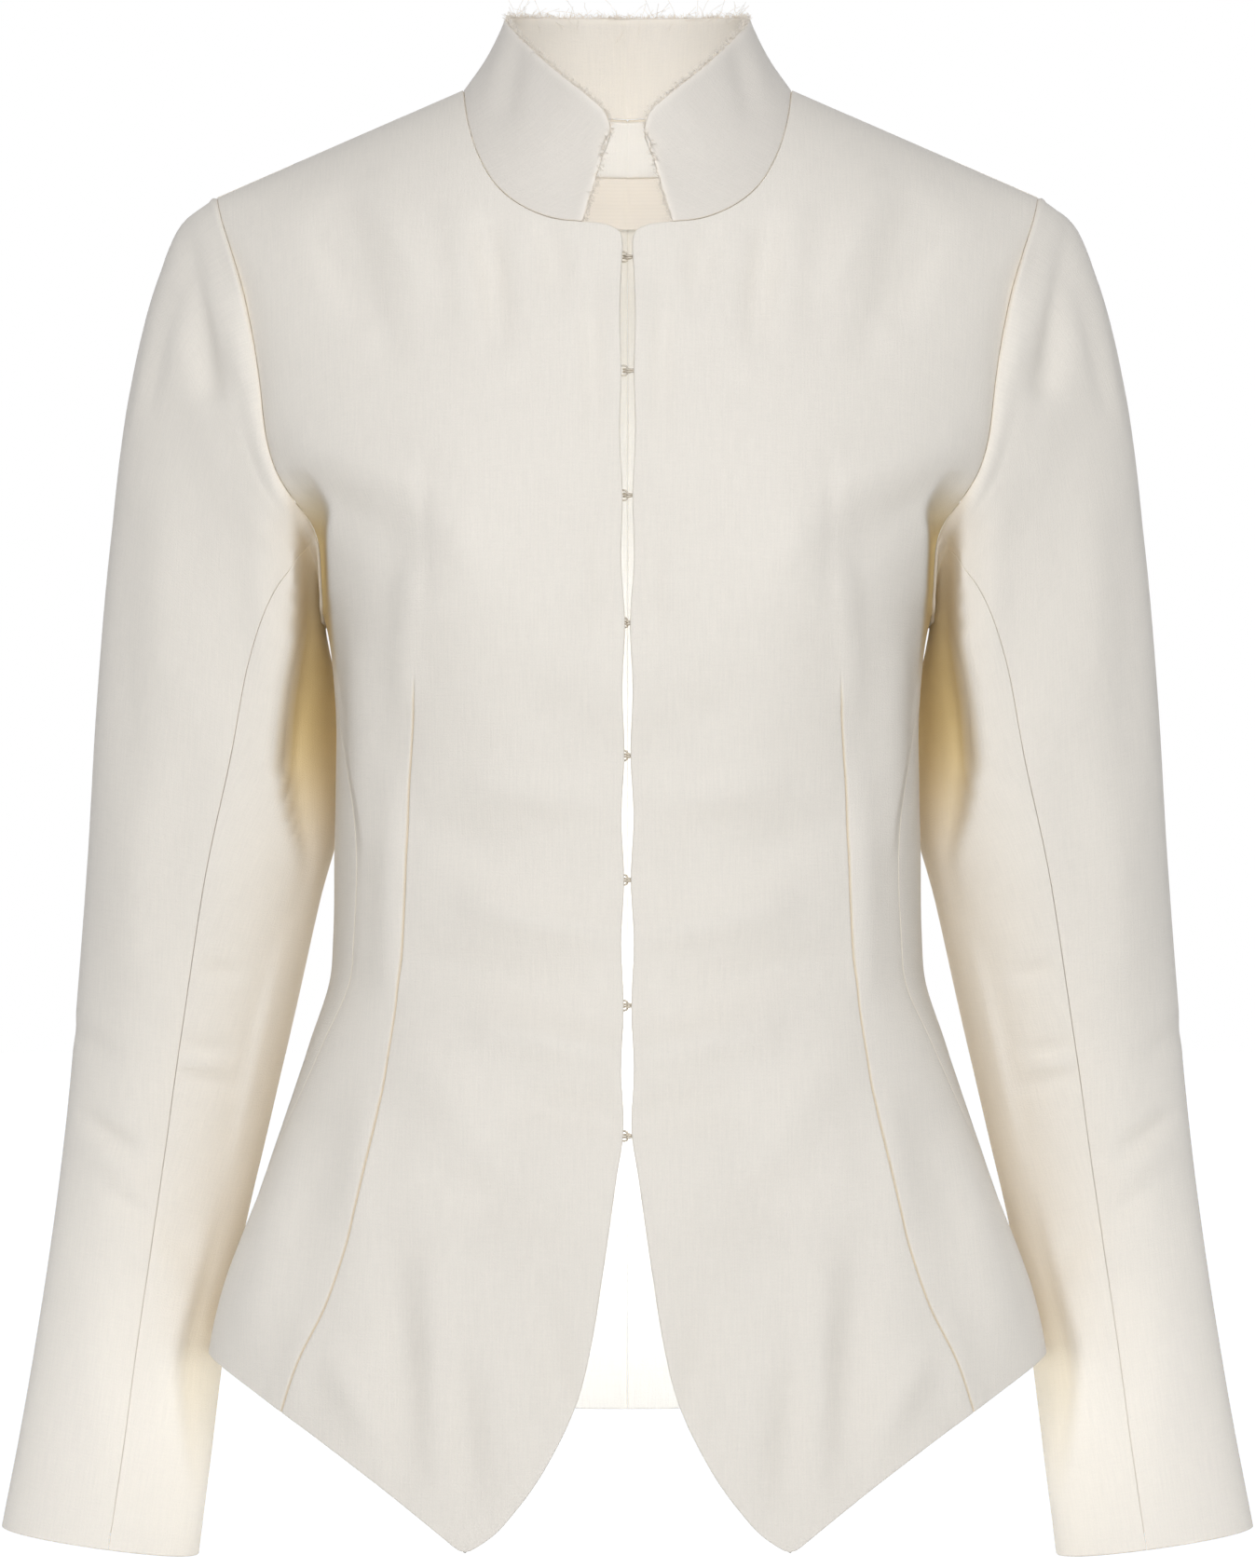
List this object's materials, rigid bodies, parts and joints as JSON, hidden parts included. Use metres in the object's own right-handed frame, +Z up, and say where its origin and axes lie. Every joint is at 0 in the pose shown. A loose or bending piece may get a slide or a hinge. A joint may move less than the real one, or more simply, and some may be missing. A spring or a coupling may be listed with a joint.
{
  "type": "fitted stand-collar jacket",
  "caption": "Hip-length fitted jacket, hollow as worn, with a raw-edged stand collar, hook-and-eye front, darts, pointed front hems and long two-piece sleeves.",
  "frame": {"origin": "midway between the two points where the shoulder seams meet the collar, where the wearer's neck and shoulders carry the jacket", "axes": "+X to the wearer's left, -Y out of the front, +Z up"},
  "size_m": [0.5724, 0.2547, 0.7072],
  "materials": {
    "linen_cloth": "matt plain weave, ivory",
    "facing_cloth": "smooth matt, pale ivory",
    "label_tape": "smooth woven tape",
    "hook_wire": "satin wire"
  },
  "bodies": {
    "root": {"front_left": "linen_cloth", "front_right": "linen_cloth", "back_left": "linen_cloth", "back_right": "linen_cloth", "upper_sleeve_left": "linen_cloth", "upper_sleeve_right": "linen_cloth", "under_sleeve_left": "linen_cloth", "under_sleeve_right": "linen_cloth", "front_facing_left": "facing_cloth", "front_facing_right": "facing_cloth", "neck_facing_left": "facing_cloth", "neck_facing_right": "facing_cloth", "collar": "linen_cloth", "label": "label_tape", "hook_1": "hook_wire", "eye_1": "hook_wire", "hook_2": "hook_wire", "eye_2": "hook_wire", "hook_3": "hook_wire", "eye_3": "hook_wire", "hook_4": "hook_wire", "eye_4": "hook_wire", "hook_5": "hook_wire", "eye_5": "hook_wire", "hook_6": "hook_wire", "eye_6": "hook_wire", "hook_7": "hook_wire", "eye_7": "hook_wire", "hook_8": "hook_wire", "eye_8": "hook_wire"}
  },
  "joints": []
}
